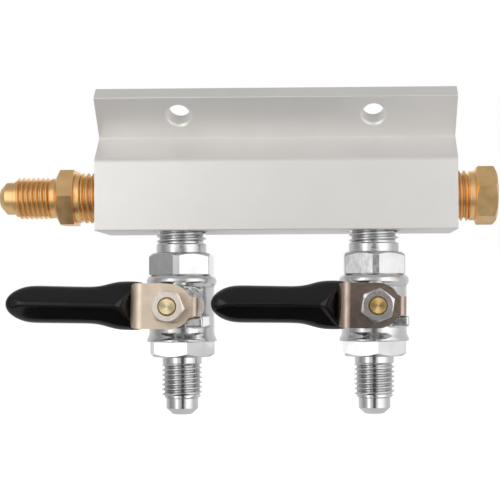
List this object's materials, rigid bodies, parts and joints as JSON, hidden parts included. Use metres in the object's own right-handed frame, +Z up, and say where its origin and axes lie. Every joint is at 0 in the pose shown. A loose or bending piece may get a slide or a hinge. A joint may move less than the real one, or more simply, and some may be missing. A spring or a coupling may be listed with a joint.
{
  "type": "gas manifold",
  "caption": "Slanted-flange aluminium gas manifold with a flare inlet, an end plug and lever-operated ball valves with built-in check valves and flare outlets.",
  "frame": {"origin": "on the slanted mounting face at the back of the flange, midway between the axes of the two screw holes", "axes": "+X along the manifold from the inlet to the end plug, +Z up (the outlets point down, -Z), -Y to the front, where the levers are; the mounting face leans 41 degrees forward of upright"},
  "size_m": [0.1307, 0.0469, 0.0852],
  "materials": {
    "block_aluminium": "extruded and sawn, fine matte, clear anodised",
    "bare_brass": "bright turned brass",
    "plated_forging": "bright nickel plate over a forged and turned brass body",
    "ptfe": "white, waxy",
    "seal_rubber": "black nitrile, matte",
    "spring_steel": "drawn stainless wire",
    "ball_chrome": "mirror-polished hard chrome",
    "stem_brass": "turned brass",
    "plated_steel": "stamped steel, satin nickel plate",
    "grip_pvc": "black dipped vinyl, glossy",
    "nut_steel": "bright zinc plate"
  },
  "bodies": {
    "manifold": {"manifold_body": "block_aluminium", "inlet_fitting": "bare_brass", "end_plug": "bare_brass", "left_valve_body": "plated_forging", "left_outlet_adapter": "plated_forging", "left_body_gasket": "ptfe", "left_upper_seat": "ptfe", "left_lower_seat": "ptfe", "left_check_seat": "bare_brass", "left_stem_washer": "ptfe", "right_valve_body": "plated_forging", "right_outlet_adapter": "plated_forging", "right_body_gasket": "ptfe", "right_upper_seat": "ptfe", "right_lower_seat": "ptfe", "right_check_seat": "bare_brass", "right_stem_washer": "ptfe"},
    "left_lever_group": {"left_ball": "ball_chrome", "left_stem": "stem_brass", "left_stem_o_ring": "seal_rubber", "left_lever": "plated_steel", "left_grip": "grip_pvc", "left_lever_nut": "nut_steel"},
    "left_check_group": {"left_check_poppet": "bare_brass", "left_check_o_ring": "seal_rubber", "left_check_spring": "spring_steel"},
    "right_lever_group": {"right_ball": "ball_chrome", "right_stem": "stem_brass", "right_stem_o_ring": "seal_rubber", "right_lever": "plated_steel", "right_grip": "grip_pvc", "right_lever_nut": "nut_steel"},
    "right_check_group": {"right_check_poppet": "bare_brass", "right_check_o_ring": "seal_rubber", "right_check_spring": "spring_steel"}
  },
  "joints": [
    {"name": "left_lever_turn", "type": "hinge", "parent": "manifold", "child": "left_lever_group", "pos_m": [-0.0254, -0.02414, -0.05264], "axis": [0, -1, 0], "range_deg": [0, 91.2]},
    {"name": "left_check_lift", "type": "slide", "parent": "manifold", "child": "left_check_group", "axis": [0, 0, -1], "range_m": [0, 0.0015], "stiffness_N_per_m": 100, "springref_m": -0.0005, "deforming": ["left_check_spring"]},
    {"name": "right_lever_turn", "type": "hinge", "parent": "manifold", "child": "right_lever_group", "pos_m": [0.0254, -0.02414, -0.05264], "axis": [0, -1, 0], "range_deg": [0, 90.9]},
    {"name": "right_check_lift", "type": "slide", "parent": "manifold", "child": "right_check_group", "axis": [0, 0, -1], "range_m": [0, 0.0015], "stiffness_N_per_m": 100, "springref_m": -0.0005, "deforming": ["right_check_spring"]}
  ]
}
